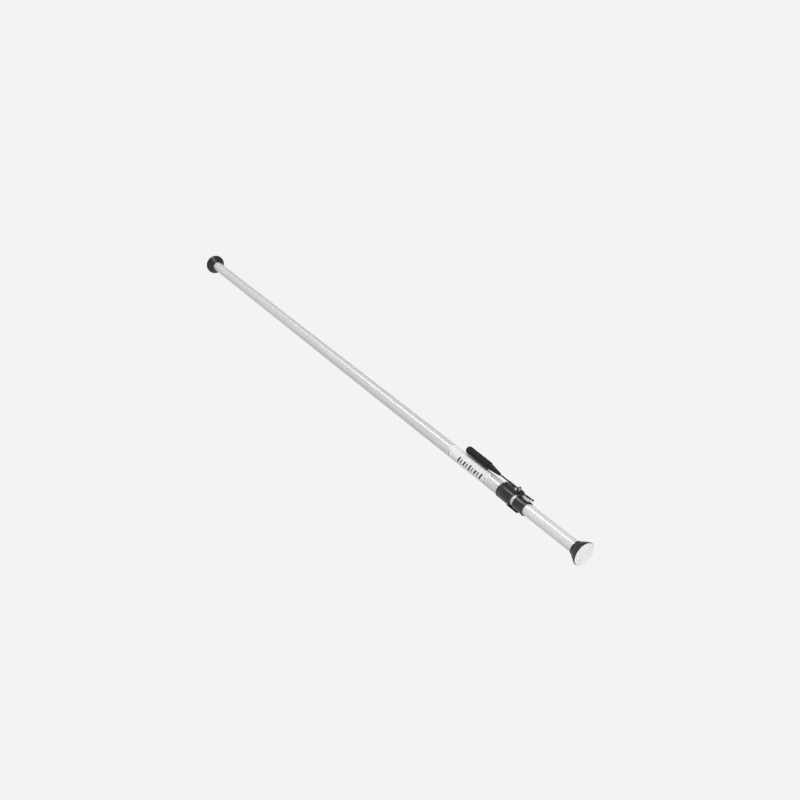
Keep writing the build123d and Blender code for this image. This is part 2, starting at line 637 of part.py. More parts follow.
def trigger_spring():
    """Two closed turns of torsion spring round the brake's pin."""
    wire_r = 0.3
    coil_r = 2.9
    coil_y = 7.4 + wire_r + 0.05
    turn_gap = 2 * wire_r + 0.02
    spring = []
    for turn in range(2):
        centre = Pos(BRAKE_PIVOT_X, coil_y + turn * turn_gap, BRAKE_PIVOT_Z)
        spring.append(centre * Rot(90, 0, 0) * Torus(coil_r, wire_r))
    return Compound(children=spring)


PIECES = {
    "outer_tube": outer_tube,
    "inner_tube": inner_tube,
    "label_band": label_band,
    "tail_bush": tail_bush,
    "tail_rivets": tail_rivets,
    "mouth_bush": mouth_bush,
    "fixed_collar": fixed_collar,
    "collar_grub_screws": collar_grub_screws,
    "guide_bar": guide_bar,
    "guide_screws": guide_screws,
    "spring_anchor_pin": spring_anchor_pin,
    "return_spring": return_spring,
    "lever_pin": lever_pin,
    "lever_pin_clip": lever_pin_clip,
    "lever_cam": lever_cam,
    "stem_socket": stem_socket,
    "lever_stem": lever_stem,
    "stem_pin": stem_pin,
    "grip_core": grip_core,
    "grip_sleeve": grip_sleeve,
    "sliding_collar": sliding_collar,
    "collar_liner": collar_liner,
    "thrust_block": thrust_block,
    "thrust_block_pin": thrust_block_pin,
    "shoulder_screw": shoulder_screw,
    "brake_cam": brake_cam,
    "brake_pin": brake_pin,
    "brake_pin_clip": brake_pin_clip,
    "release_trigger": release_trigger,
    "trigger_rod": trigger_rod,
    "trigger_tip": trigger_tip,
    "trigger_spring": trigger_spring,
}


def main():
    os.makedirs("parts", exist_ok=True)
    made = {name: make() for name, make in PIECES.items()}
    made.update(feet())
    for name, shape in made.items():
        export_step(shape, f"parts/{name}.step")
        print(name, round(shape.volume, 1))


main()
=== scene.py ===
import json
import math

import bmesh
import bpy
from mathutils import Matrix, Vector


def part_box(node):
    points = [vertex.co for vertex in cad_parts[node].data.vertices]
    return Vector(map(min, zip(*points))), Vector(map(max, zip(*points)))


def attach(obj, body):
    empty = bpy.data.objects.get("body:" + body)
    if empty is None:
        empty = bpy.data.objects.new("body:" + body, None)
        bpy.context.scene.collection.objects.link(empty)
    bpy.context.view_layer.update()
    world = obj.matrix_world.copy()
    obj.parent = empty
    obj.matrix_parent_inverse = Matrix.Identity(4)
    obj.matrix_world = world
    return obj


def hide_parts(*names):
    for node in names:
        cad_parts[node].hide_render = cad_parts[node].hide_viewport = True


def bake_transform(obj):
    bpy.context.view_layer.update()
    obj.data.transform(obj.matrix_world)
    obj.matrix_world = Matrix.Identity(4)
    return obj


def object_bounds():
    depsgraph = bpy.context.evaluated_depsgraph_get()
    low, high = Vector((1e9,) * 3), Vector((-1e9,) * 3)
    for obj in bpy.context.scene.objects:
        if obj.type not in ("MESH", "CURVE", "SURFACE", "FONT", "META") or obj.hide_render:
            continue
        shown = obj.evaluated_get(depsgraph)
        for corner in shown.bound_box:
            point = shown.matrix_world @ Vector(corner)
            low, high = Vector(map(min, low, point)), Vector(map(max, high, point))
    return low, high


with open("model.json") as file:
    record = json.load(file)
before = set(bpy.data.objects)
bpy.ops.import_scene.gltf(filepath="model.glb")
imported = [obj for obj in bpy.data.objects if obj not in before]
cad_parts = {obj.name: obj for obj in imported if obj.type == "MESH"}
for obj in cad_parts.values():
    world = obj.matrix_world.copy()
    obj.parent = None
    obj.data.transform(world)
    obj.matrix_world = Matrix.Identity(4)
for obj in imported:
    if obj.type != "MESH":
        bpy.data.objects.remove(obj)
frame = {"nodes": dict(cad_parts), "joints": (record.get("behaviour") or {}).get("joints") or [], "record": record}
cad_low, cad_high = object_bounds()

# ---- sizes, in metres, worked out from the frame ---------------------------------------------------------
MM = 0.001
BAR_LENGTH = cad_high.x
OUTER_TUBE_LOW, OUTER_TUBE_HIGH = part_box("outer_tube")
INNER_TUBE_LOW, INNER_TUBE_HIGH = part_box("inner_tube")
LABEL_LOW, LABEL_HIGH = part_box("label_band")
OUTER_TUBE_R = OUTER_TUBE_HIGH.y
INNER_TUBE_R = INNER_TUBE_HIGH.y
WALL = 1.5 * MM
LABEL_R = LABEL_HIGH.y
JOINTS = {joint["name"]: joint for joint in frame["joints"]}
LEVER_PIVOT = Vector(JOINTS["lever_hinge"]["pos_m"])
LEVER_TILT = math.radians(1.0)
SEGMENTS = 160


# ---- mesh building ---------------------------------------------------------------------------------------
def put_in_scene(name, mesh, body, material, nodes=()):
    """Makes the object, gives it its material, hangs it under its body if one is given, and hides the CAD nodes it
    stands for.
    """
    piece = bpy.data.objects.new(name, mesh)
    bpy.context.scene.collection.objects.link(piece)
    mesh.materials.append(material)
    if body:
        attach(piece, body)
    if nodes:
        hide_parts(*nodes)
    return piece


def outline(corners, closed=True, steps=5):
    """Rounds the corners of a chain of (x, radius, rounding), and holds each with a point beside it."""
    points = []
    count = len(corners)
    for i, (x, r, rounding) in enumerate(corners):
        here = Vector((x, r))
        at_end = not closed and i in (0, count - 1)
        if at_end or rounding == 0:
            points.append(here)
            continue
        before = Vector(corners[i - 1][:2]) - here
        after = Vector(corners[(i + 1) % count][:2]) - here
        reach = min(rounding, 0.45 * before.length, 0.45 * after.length)
        start = here + reach * before.normalized()
        end = here + reach * after.normalized()
        hold = min(0.3 * reach, 0.2 * MM)
        points.append(start + hold * before.normalized())
        for step in range(steps + 1):
            t = step / steps
            points.append((1 - t) ** 2 * start + 2 * t * (1 - t) * here + t**2 * end)
        points.append(end + hold * after.normalized())
    return points


def arc_through(start, middle, end, steps):
    """Points of a smooth bow from start to end that passes near middle, both ends left out."""
    start, middle, end = Vector(start), Vector(middle), Vector(end)
    control = 2 * middle - (start + end) / 2
    bow = []
    for step in range(1, steps):
        t = step / steps
        bow.append(tuple((1 - t) ** 2 * start + 2 * t * (1 - t) * control + t**2 * end) + (0,))
    return bow


def turned(name, points, closed=True, segments=SEGMENTS, shape=None):
    """Turns an outline of (x, radius) about X into a mesh. shape(x, radius, angle) may move a point."""
    build = bmesh.new()
    rings = []
    for x, r in points:
        if r < 1e-7:
            rings.append([build.verts.new((x, 0, 0))])
            continue
        ring = []
        for k in range(segments):
            angle = 2 * math.pi * k / segments
            radius = shape(x, r, angle) if shape else r
            ring.append(build.verts.new((x, radius * math.cos(angle), radius * math.sin(angle))))
        rings.append(ring)
    pairs = list(zip(rings, rings[1:]))
    if closed:
        pairs.append((rings[-1], rings[0]))
    for a, b in pairs:
        for k in range(segments):
            n = (k + 1) % segments
            corners = [a[k % len(a)], b[k % len(b)], b[n % len(b)], a[n % len(a)]]
            corners = list(dict.fromkeys(corners))
            if len(corners) > 2:
                build.faces.new(corners)
    bmesh.ops.recalc_face_normals(build, faces=build.faces)
    mesh = bpy.data.meshes.new(name)
    build.to_mesh(mesh)
    build.free()
    mesh.shade_smooth()
    return mesh


def lengths(x0, x1, r, pieces):
    """Points that divide a long straight run, so its faces aren't needles."""
    return [(x0 + (x1 - x0) * i / pieces, r, 0) for i in range(1, pieces)]


def in_lever_frame(mesh):
    mesh.transform(Matrix.Translation(LEVER_PIVOT) @ Matrix.Rotation(LEVER_TILT, 4, "Y"))
    return mesh


def cleaned(node, body, material):
    """A copy of a CAD node with its doubled points merged and its flat faces made whole."""
    build = bmesh.new()
    build.from_mesh(frame["nodes"][node].data)
    bmesh.ops.remove_doubles(build, verts=build.verts, dist=0.002 * MM)
    bmesh.ops.dissolve_limit(
        build, angle_limit=math.radians(0.4), verts=build.verts, edges=build.edges, delimit=set()
    )
    mesh = bpy.data.meshes.new(node + "_finished")
    build.to_mesh(mesh)
    build.free()
    mesh.shade_smooth()
    return put_in_scene(node + "_finished", mesh, body, material, [node])


def refined(node, body, material, width):
    """A cleaned copy of a CAD node with its edges rounded."""
    piece = cleaned(node, body, material)
    bevel = piece.modifiers.new("rounded edges", "BEVEL")
    bevel.width = width
    bevel.segments = 2
    bevel.limit_method = "ANGLE"
    bevel.angle_limit = math.radians(32)
    bevel.harden_normals = True
    return piece


# ---- materials -------------------------------------------------------------------------------------------
class Nodes:
    """Short ways to make and join the nodes of one tree."""

    def __init__(self, tree):
        self.tree = tree

    def add(self, kind):
        return self.tree.nodes.new(kind)

    def link(self, source, target):
        self.tree.links.new(source, target)

    def spread(self, value, low, high, to_low=0.0, to_high=1.0, smooth=False):
        """Maps a value between two limits onto two others."""
        node = self.add("ShaderNodeMapRange")
        node.interpolation_type = "SMOOTHSTEP" if smooth else "LINEAR"
        for socket, number in zip(("From Min", "From Max", "To Min", "To Max"), (low, high, to_low, to_high)):
            node.inputs[socket].default_value = number
        self.link(value, node.inputs["Value"])
        return node.outputs["Result"]

    def math(self, operation, *values):
        node = self.add("ShaderNodeMath")
        node.operation = operation
        for socket, value in zip(node.inputs, values):
            if isinstance(value, (int, float)):
                socket.default_value = value
            else:
                self.link(value, socket)
        return node.outputs["Value"]


class Surface(Nodes):
    """A node material that is built up layer by layer from the object's own coordinates."""

    def __init__(self, name, metallic=0.0, specular=0.5):
        self.material = bpy.data.materials.new(name)
        self.material.use_nodes = True
        super().__init__(self.material.node_tree)
        self.shader = self.tree.nodes["Principled BSDF"]
        self.shader.inputs["Metallic"].default_value = metallic
        self.shader.inputs["Specular IOR Level"].default_value = specular
        self.place = self.add("ShaderNodeTexCoord").outputs["Object"]
        self.height = None

    def noise(self, stretch, detail=4.0, roughness=0.55):
        """Fractal noise, with cells per metre along X, Y and Z."""
        mapping = self.add("ShaderNodeMapping")
        mapping.inputs["Scale"].default_value = stretch
        self.link(self.place, mapping.inputs["Vector"])
        texture = self.add("ShaderNodeTexNoise")
        texture.inputs["Scale"].default_value = 1.0
        texture.inputs["Detail"].default_value = detail
        texture.inputs["Roughness"].default_value = roughness
        self.link(mapping.outputs["Vector"], texture.inputs["Vector"])
        return texture.outputs["Fac"]

    def cells(self, size):
        """Random grey per crystal of about that size."""
        texture = self.add("ShaderNodeTexVoronoi")
        texture.inputs["Scale"].default_value = 1.0 / size
        self.link(self.place, texture.inputs["Vector"])
        split = self.add("ShaderNodeSeparateColor")
        self.link(texture.outputs["Color"], split.inputs["Color"])
        return split.outputs["Red"]

    def mix(self, amount, first, second):
        """Colour between first and second, each a colour or an output."""
        node = self.add("ShaderNodeMix")
        node.data_type = "RGBA"
        self.link(amount, node.inputs["Factor"])
        for socket, value in ((node.inputs[6], first), (node.inputs[7], second)):
            if isinstance(value, tuple):
                socket.default_value = value + (1.0,)
            else:
                self.link(value, socket)
        return node.outputs[2]

    def colour(self, value):
        self.link(value, self.shader.inputs["Base Color"])

    def rough(self, value):
        self.link(value, self.shader.inputs["Roughness"])

    def bump(self, value, depth):
        """Adds relief of that depth, in metres."""
        node = self.add("ShaderNodeBump")
        node.inputs["Distance"].default_value = depth
        node.inputs["Strength"].default_value = 1.0
        self.link(value, node.inputs["Height"])
        if self.height:
            self.link(self.height, node.inputs["Normal"])
        self.height = node.outputs["Normal"]
        self.link(self.height, self.shader.inputs["Normal"])


def aluminium(name, light, dark, shine):
    """Satin anodised tube: drawing lines along it, a faint mottle, and a few handling scuffs."""
    s = Surface(name, metallic=0.2)
    lines = s.noise((1.2, 900.0, 900.0), detail=5.0, roughness=0.6)
    mottle = s.noise((14.0, 60.0, 60.0), detail=3.0)
    scuffs = s.spread(s.noise((35.0, 260.0, 260.0), detail=8.0, roughness=0.75), 0.66, 0.74)
    tone = s.math("ADD", s.math("MULTIPLY", lines, 0.6), s.math("MULTIPLY", mottle, 0.4))
    clean = s.mix(s.spread(tone, 0.36, 0.64), dark, light)
    s.colour(s.mix(s.math("MULTIPLY", scuffs, 0.35), clean, (0.62, 0.62, 0.62)))
    base = s.spread(lines, 0.3, 0.7, shine - 0.04, shine + 0.06)
    s.rough(s.math("ADD", base, s.math("MULTIPLY", scuffs, 0.14)))
    s.bump(lines, 0.006 * MM)
    s.bump(scuffs, 0.004 * MM)
    return s.material


def moulded(name, light, dark, shine, grain, depth, specular=0.5, dust=0.0):
    """Moulded plastic or rubber: fine grain, slow cloudiness and a trace of pale dust."""
    s = Surface(name, specular=specular)
    fine = s.noise((grain, grain, grain), detail=3.0)
    slow = s.noise((70.0, 70.0, 70.0), detail=4.0)
    body = s.mix(s.spread(slow, 0.3, 0.7), dark, light)
    specks = s.spread(s.noise((900.0, 900.0, 900.0), detail=6.0, roughness=0.7), 0.6, 0.8, 0.0, dust)
    s.colour(s.mix(specks, body, (0.42, 0.41, 0.39)))
    base = s.spread(slow, 0.3, 0.7, shine - 0.05, shine + 0.07)
    s.rough(s.math("ADD", base, s.math("MULTIPLY", fine, 0.06)))
    s.bump(fine, depth)
    return s.material


def enamel(name):
    """Black stoved enamel: soft orange peel, worn to a greyer black in small patches."""
    s = Surface(name, specular=0.72)
    peel = s.noise((620.0, 620.0, 620.0), detail=2.0)
    slow = s.noise((55.0, 55.0, 55.0), detail=5.0)
    worn = s.spread(s.noise((240.0, 700.0, 700.0), detail=9.0, roughness=0.75), 0.64, 0.74, 0.0, 0.5)
    body = s.mix(s.spread(slow, 0.35, 0.65), (0.0028, 0.0035, 0.005), (0.0055, 0.0065, 0.0085))
    s.colour(s.mix(worn, body, (0.045, 0.047, 0.052)))
    s.rough(s.math("ADD", s.spread(slow, 0.3, 0.7, 0.21, 0.29), s.math("MULTIPLY", worn, 0.4)))
    s.bump(peel, 0.012 * MM)
    return s.material


def steel(name, light, dark, shine, crystal=0.35 * MM):
    """Plated or phosphated steel: fine crystals, turning marks and faint stains."""
    s = Surface(name, metallic=1.0)
    grains = s.cells(crystal)
    marks = s.noise((2500.0, 400.0, 400.0), detail=4.0)
    stains = s.noise((160.0, 160.0, 160.0), detail=5.0)
    tone = s.math("ADD", s.math("MULTIPLY", grains, 0.35), s.math("MULTIPLY", stains, 0.65))
    s.colour(s.mix(s.spread(tone, 0.25, 0.7), dark, light))
    base = s.spread(stains, 0.3, 0.7, shine - 0.05, shine + 0.08)
    s.rough(s.math("ADD", base, s.math("MULTIPLY", grains, 0.05)))
    s.bump(marks, 0.008 * MM)
    return s.material


def vinyl(name):
    """White satin label film with a faint weave of its print screen and handling grey."""
    s = Surface(name, specular=0.2)
    cloud = s.noise((30.0, 90.0, 90.0), detail=5.0)
    film = s.noise((1400.0, 1400.0, 1400.0), detail=2.0)
    grey = s.spread(s.noise((60.0, 220.0, 220.0), detail=8.0, roughness=0.7), 0.58, 0.75, 0.0, 0.35)
    clean = s.mix(s.spread(cloud, 0.3, 0.7), (0.77, 0.77, 0.767), (0.81, 0.81, 0.805))
    s.colour(s.mix(grey, clean, (0.5, 0.5, 0.495)))
    s.rough(s.spread(cloud, 0.3, 0.7, 0.42, 0.55))
    s.bump(film, 0.004 * MM)
    return s.material


FINISHES = {
    "tube_aluminium": aluminium("tube_aluminium", (0.71, 0.71, 0.714), (0.65, 0.65, 0.654), 0.19),
    "label_white": vinyl("label_white"),
    "bush_plastic": moulded("bush_plastic", (0.74, 0.72, 0.66), (0.68, 0.66, 0.6), 0.42, 1500.0, 0.01 * MM),
    "black_enamel": enamel("black_enamel"),
    "dark_steel": steel("dark_steel", (0.085, 0.085, 0.088), (0.04, 0.04, 0.042), 0.45),
    "bright_steel": steel("bright_steel", (0.72, 0.72, 0.73), (0.58, 0.58, 0.59), 0.24),
    "spring_steel": steel("spring_steel", (0.56, 0.56, 0.57), (0.42, 0.42, 0.43), 0.28),
    "black_rod": moulded(
        "black_rod", (0.016, 0.016, 0.017), (0.009, 0.009, 0.01), 0.34, 900.0, 0.01 * MM, 0.4
    ),
    "black_plastic": moulded(
        "black_plastic", (0.009, 0.009, 0.01), (0.005, 0.005, 0.0055), 0.4, 1100.0, 0.015 * MM, 0.25, 0.04
    ),
    "grip_rubber": moulded(
        "grip_rubber", (0.013, 0.013, 0.014), (0.007, 0.007, 0.0075), 0.55, 1600.0, 0.01 * MM, 0.25, 0.04
    ),
    "zinc_sheet": steel("zinc_sheet", (0.86, 0.86, 0.865), (0.74, 0.74, 0.75), 0.2, 1.2 * MM),
    "foot_rubber": moulded(
        "foot_rubber", (0.01, 0.01, 0.011), (0.005, 0.005, 0.0055), 0.3, 1300.0, 0.01 * MM, 0.55, 0.05
    ),
    "pad_pale": moulded(
        "pad_pale", (0.85, 0.85, 0.84), (0.82, 0.82, 0.81), 0.6, 1500.0, 0.004 * MM, 0.3, 0.04
    ),
}
INK = moulded("print_ink", (0.03, 0.03, 0.033), (0.018, 0.018, 0.02), 0.4, 1400.0, 0.004 * MM, 0.4)
INNER_FINISH = aluminium("inner_tube_aluminium", (0.79, 0.79, 0.792), (0.73, 0.73, 0.732), 0.2)


# ---- tubes and label -------------------------------------------------------------------------------------
def tube(name, low, high, radius, body, material, node):
    """A drawn tube with broken edges at both ends."""
    edge = 0.35 * MM
    corners = [(low.x, radius, edge)]
    corners += lengths(low.x, high.x, radius, 24)
    corners += [(high.x, radius, edge), (high.x, radius - WALL, edge)]
    corners += lengths(high.x, low.x, radius - WALL, 24)
    corners += [(low.x, radius - WALL, edge)]
    put_in_scene(name, turned(name, outline(corners)), body, material, [node])


def label_film():
    inside = OUTER_TUBE_R - 0.02 * MM
    edge = 0.08 * MM
    corners = [(LABEL_LOW.x, LABEL_R, edge)]
    corners += lengths(LABEL_LOW.x, LABEL_HIGH.x, LABEL_R, 6)
    corners += [(LABEL_HIGH.x, LABEL_R, edge), (LABEL_HIGH.x, inside, 0), (LABEL_LOW.x, inside, 0)]
    mesh = turned("label_film", outline(corners, steps=2))
    put_in_scene("label_film", mesh, "outer_section", FINISHES["label_white"], ["label_band"])


def printed_mark(build, x0, x1, angle0, angle1, slant):
    """A slanted bar of ink on the label, a little proud of it. Angles run from -Y towards +Z."""
    steps = 14
    ink = 0.04 * MM
    rows = []
    for radius in (LABEL_R - 0.01 * MM, LABEL_R + ink):
        row = []
        for i in range(steps + 1):
            t = i / steps
            angle = angle0 + (angle1 - angle0) * t
            lean = slant * t
            y = -radius * math.cos(angle)
            z = radius * math.sin(angle)
            row.append([build.verts.new((x0 + lean, y, z)), build.verts.new((x1 + lean, y, z))])
        rows.append(row)
    low, top = rows
    for i in range(steps):
        build.faces.new((top[i][0], top[i][1], top[i + 1][1], top[i + 1][0]))
        build.faces.new((low[i][0], low[i + 1][0], low[i + 1][1], low[i][1]))
        for side in (0, 1):
            build.faces.new((low[i][side], top[i][side], top[i + 1][side], low[i + 1][side]))
    for i in (0, steps):
        build.faces.new((low[i][0], low[i][1], top[i][1], top[i][0]))


PRINT_MIDDLE = math.radians(3.0)
PRINT_HALF_HEIGHT = math.radians(27.0)
PRINT_START_X = LABEL_LOW.x + 50 * MM
PRINT_PITCH = 13.0 * MM
PRINT_BARS = 9
PRINT_SLANT = 5.0 * MM
PRINT_TALL_EVERY = 4
PRINT_SHORT_SHARE = 0.74
PRINT_WIDE = 6.4 * MM
PRINT_NARROW = 4.2 * MM
BORDER_WIDTH = 2.0 * MM
BORDER_INSET = 5.0 * MM
BORDER_ANGLES = (math.radians(-38), math.radians(22))


def label_print():
    """A row of slanted bars and a border line at each end, in place of the real label's lettering."""
    build = bmesh.new()
    for bar in range(PRINT_BARS):
        share = 1.0 if bar % PRINT_TALL_EVERY == 0 else PRINT_SHORT_SHARE
        width = PRINT_NARROW if bar % 2 else PRINT_WIDE
        x0 = PRINT_START_X + bar * PRINT_PITCH
        half = PRINT_HALF_HEIGHT * share
        printed_mark(build, x0, x0 + width, PRINT_MIDDLE - half, PRINT_MIDDLE + half, PRINT_SLANT)
    for border_x in (LABEL_LOW.x + BORDER_INSET, LABEL_HIGH.x - BORDER_INSET - BORDER_WIDTH):
        printed_mark(build, border_x, border_x + BORDER_WIDTH, *BORDER_ANGLES, 0.0)
    bmesh.ops.recalc_face_normals(build, faces=build.faces)
    mesh = bpy.data.meshes.new("label_print")
    build.to_mesh(mesh)
    build.free()
    put_in_scene("label_print", mesh, "outer_section", INK)


# ---- feet ------------------------------------------------------------------------------------------------
LIP_WIDTH = 3.4 * MM
LIP_FRONT_STEP = 0.8 * MM
LIP_BACK_STEP = 0.6 * MM
NECK_LENGTH = 3.5 * MM
WAIST_STEP = 0.4 * MM
WAIST_LENGTH = 0.8 * MM
FLARE_BULGE = 0.8 * MM
FLARE_STEPS = 22
PAD_EDGE_ROUNDING = 1.0 * MM
FOOT_BASE = 12.5 * MM
SCREW_HOLE_R = 2.6 * MM
WASHER_BACK = 6.9 * MM
WASHER_SEAT_R = 7.2 * MM
OUTER_FOOT_NECK_R = 23.5 * MM
INNER_FOOT_NECK_R = 21.0 * MM
GROOVE_DEPTH = 0.5 * MM
GROOVE_WIDTH = 1.4 * MM
GROOVE_SHARES = (0.3, 0.53, 0.76)


def foot(prefix, body, tube_radius, neck_radius, flip):
    """Flared rubber foot and its pale bearing pad, drawn inwards from the bearing face at X = 0."""
    rubber_low, rubber_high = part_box(prefix)
    pad_low, pad_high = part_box(prefix + "_pad")
    rim = rubber_high.y
    pad = pad_high.y
    height = BAR_LENGTH - rubber_low.x if flip else rubber_high.x
    lip_start = BAR_LENGTH - rubber_high.x if flip else rubber_low.x
    pad_depth = pad_high.x - pad_low.x
    lip_end = lip_start + LIP_WIDTH
    waist = (height - NECK_LENGTH, neck_radius - WAIST_STEP)
    flare_start = (lip_end, rim - LIP_BACK_STEP)
    flare_middle = ((lip_end + waist[0]) / 2, (flare_start[1] + waist[1]) / 2 + FLARE_BULGE)
    corners = [
        (pad_depth, pad, 0),
        (lip_start, pad, 0.2 * MM),
        (lip_start, rim - LIP_FRONT_STEP, 0.4 * MM),
        (lip_start + LIP_WIDTH / 2, rim, 1.0 * MM),
        flare_start + (0.6 * MM,),
    ]
    corners += arc_through(flare_start, flare_middle, waist, FLARE_STEPS)
    corners += [
        waist + (0.5 * MM,),
        (waist[0] + WAIST_LENGTH, neck_radius, 0.4 * MM),
        (height, neck_radius, 0.9 * MM),
        (height, tube_radius, 0.3 * MM),
        (FOOT_BASE, tube_radius, 0),
        (FOOT_BASE, SCREW_HOLE_R, 0),
        (WASHER_BACK, SCREW_HOLE_R, 0),
        (WASHER_BACK, WASHER_SEAT_R, 0),
        (pad_depth, WASHER_SEAT_R, 0),
    ]
    mesh = turned(prefix + "_rubber", outline(corners))
    face = [(0.0, 0.0, 0)]
    for share in GROOVE_SHARES:
        r = share * pad
        face += [
            (0.0, r, 0.3 * MM),
            (GROOVE_DEPTH, r + 0.2 * MM, 0.15 * MM),
            (GROOVE_DEPTH, r + GROOVE_WIDTH - 0.2 * MM, 0.15 * MM),
            (0.0, r + GROOVE_WIDTH, 0.3 * MM),
        ]
    face += [(0.0, pad, PAD_EDGE_ROUNDING), (pad_depth, pad, 0.3 * MM), (pad_depth, 0.0, 0)]
    pad_mesh = turned(prefix + "_bearing_pad", outline(face, closed=False), closed=False)
    if flip:
        for made in (mesh, pad_mesh):
            made.transform(Matrix.Translation((BAR_LENGTH, 0, 0)) @ Matrix.Rotation(math.pi, 4, "Y"))
    put_in_scene(prefix + "_rubber", mesh, body, FINISHES["foot_rubber"], [prefix])
    put_in_scene(
        prefix + "_bearing_pad", pad_mesh, body, FINISHES["pad_pale"], [prefix + "_pad"]
    )


# ---- lever -----------------------------------------------------------------------------------------------
GRIP_LOW, GRIP_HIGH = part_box("grip_sleeve")
CONE_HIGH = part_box("grip_core")[1]
GRIP_R = GRIP_HIGH.y - 0.05 * MM
KNURL_DEPTH = 0.4 * MM
KNURL_COUNT = 30
KNURL_PITCH = 2.7 * MM
KNURL_ROWS = 250
GRIP_CORE_R = 8.0 * MM
CONE_BORE_R = 2.45 * MM


def grip():
    """Rubber sleeve with a diamond knurl, on a core that ends in a smooth cone."""
    end = GRIP_LOW.x - LEVER_PIVOT.x + 0.05 * MM
    neck = GRIP_HIGH.x - LEVER_PIVOT.x - 0.25 * MM
    knurl_start = end + 9 * MM
    knurl_end = neck - 4 * MM

    def knurled(x, r, angle):
        inside = min(x - knurl_start, knurl_end - x) / (2 * MM)
        if inside <= 0 or r < GRIP_R - 0.5 * MM:
            return r
        along = math.pi * (x - knurl_start) / KNURL_PITCH
        around = angle * KNURL_COUNT / 2
        grooves = abs(math.sin(around + along)) ** 0.5 * abs(math.sin(around - along)) ** 0.5
        return r - KNURL_DEPTH * min(inside, 1.0) * (1 - grooves)

    corners = [(end, 0.0, 0), (end, GRIP_R - 6 * MM, 2.5 * MM)]
    corners += [(end + 1.8 * MM, GRIP_R - 2.2 * MM, 1.8 * MM), (end + 7 * MM, GRIP_R, 2.5 * MM)]
    corners += lengths(end + 7.6 * MM, neck - 1.6 * MM, GRIP_R, KNURL_ROWS)
    corners += [
        (neck - 1.2 * MM, GRIP_R, 0.5 * MM),
        (neck - 0.1 * MM, GRIP_R - 1.8 * MM, 0.4 * MM),
        (neck - 0.1 * MM, GRIP_CORE_R, 0),
        (end + 8 * MM, GRIP_CORE_R, 0),
        (end + 8 * MM, 0.0, 0),
    ]
    points = outline(corners, closed=False)
    mesh = in_lever_frame(turned("grip_rubber_sleeve", points, closed=False, segments=180, shape=knurled))
    put_in_scene(
        "grip_rubber_sleeve", mesh, "lever", FINISHES["grip_rubber"], ["grip_sleeve"]
    )
    tip = CONE_HIGH.x - LEVER_PIVOT.x - 0.1 * MM
    cone = [
        (tip, CONE_BORE_R, 0),
        (tip, 3.7 * MM, 0.4 * MM),
        (tip - 1.4 * MM, 4.5 * MM, 0.8 * MM),
        (neck + 2.0 * MM, 9.9 * MM, 1.2 * MM),
        (neck + 0.1 * MM, 10.4 * MM, 0.5 * MM),
        (neck + 0.1 * MM, GRIP_CORE_R - 0.02 * MM, 0),
        (end + 8.1 * MM, GRIP_CORE_R - 0.02 * MM, 0),
        (end + 8.1 * MM, CONE_BORE_R, 0),
    ]
    mesh = in_lever_frame(turned("grip_cone", outline(cone), segments=120))
    put_in_scene("grip_cone", mesh, "lever", FINISHES["black_plastic"], ["grip_core"])


def stem():
    """Steel rod between the cam's socket and the grip."""
    low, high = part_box("lever_stem")
    radius = high.y
    start = low.x - LEVER_PIVOT.x + 0.1 * MM
    end = high.x - LEVER_PIVOT.x - 0.1 * MM
    corners = [(start, 0.0, 0), (start, radius, 0.5 * MM)]
    corners += lengths(start, end, radius, 20)
    corners += [(end, radius, 0.5 * MM), (end, 0.0, 0)]
    mesh = in_lever_frame(turned("stem_rod", outline(corners, closed=False), closed=False, segments=64))
    put_in_scene("stem_rod", mesh, "lever", FINISHES["black_rod"], ["lever_stem"])


# ---- collars, guide bar, cam, brake and their pins -------------------------------------------------------
ROUNDED = {
    "fixed_collar": 0.35 * MM,
    "sliding_collar": 0.3 * MM,
    "guide_bar": 0.25 * MM,
    "lever_cam": 0.25 * MM,
    "stem_socket": 0.25 * MM,
    "thrust_block": 0.3 * MM,
    "brake_cam": 0.2 * MM,
    "release_trigger": 0.2 * MM,
    "mouth_bush": 0.2 * MM,
    "brake_pin": 0.15 * MM,
    "lever_pin": 0.15 * MM,
    "lever_pin_clip": 0.1 * MM,
    "brake_pin_clip": 0.1 * MM,
    "trigger_rod": 0.15 * MM,
    "shoulder_screw": 0.12 * MM,
    "guide_screws": 0.12 * MM,
}


def return_spring():
    """A cleaned copy of the return spring, its placement baked into its points; the coils keep their shape as the
    sliding collar moves.
    """
    spring = cleaned("return_spring", None, FINISHES["spring_steel"])
    first_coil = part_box("spring_anchor_pin")[1] + Vector((1.2 * MM, 0, 0))
    last_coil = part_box("shoulder_screw")[0]
    last_coil = Vector((last_coil.x, first_coil.y, first_coil.z))
    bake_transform(spring)


def finish_cad_nodes():
    """Rounds the edges of the mechanism's pieces, and gives every carried-over node its finish."""
    slots = {part["node"]: part["material_slot"] for part in frame["record"]["subparts"]}
    owner = {node: body for body, nodes in frame["record"]["behaviour"]["bodies"].items() for node in nodes}
    for node, piece in frame["nodes"].items():
        material = FINISHES[slots[node]]
        if node == "return_spring":
            continue
        if node in ROUNDED:
            refined(node, owner[node], material, ROUNDED[node])
            continue
        piece.data.materials.clear()
        piece.data.materials.append(material)


# ---- studio ----------------------------------------------------------------------------------------------
BACKGROUND = 0.896
FLOOR_HALF = 12.0
FLOOR_Z = -1.0
STUDIO = [
    (-180.0, 0.42),
    (-140.0, 0.48),
    (-95.0, 0.6),
    (-50.0, 0.64),
    (-10.0, 0.64),
    (20.0, 0.6),
    (45.0, 0.6),
    (66.0, 0.6),
    (90.0, 0.5),
    (112.0, 0.42),
    (145.0, 0.36),
    (180.0, 0.42),
]
STRIP_ANGLE = math.radians(66.0)
STRIP_CORE = math.radians(3.0)
STRIP_EDGE = math.radians(9.5)
STRIP_RADIANCE = 4.8
STRIP_ENDS = (-0.84, -0.7)
END_LIGHT = 0.4
END_LIGHT_RISE = (0.35, 0.85)


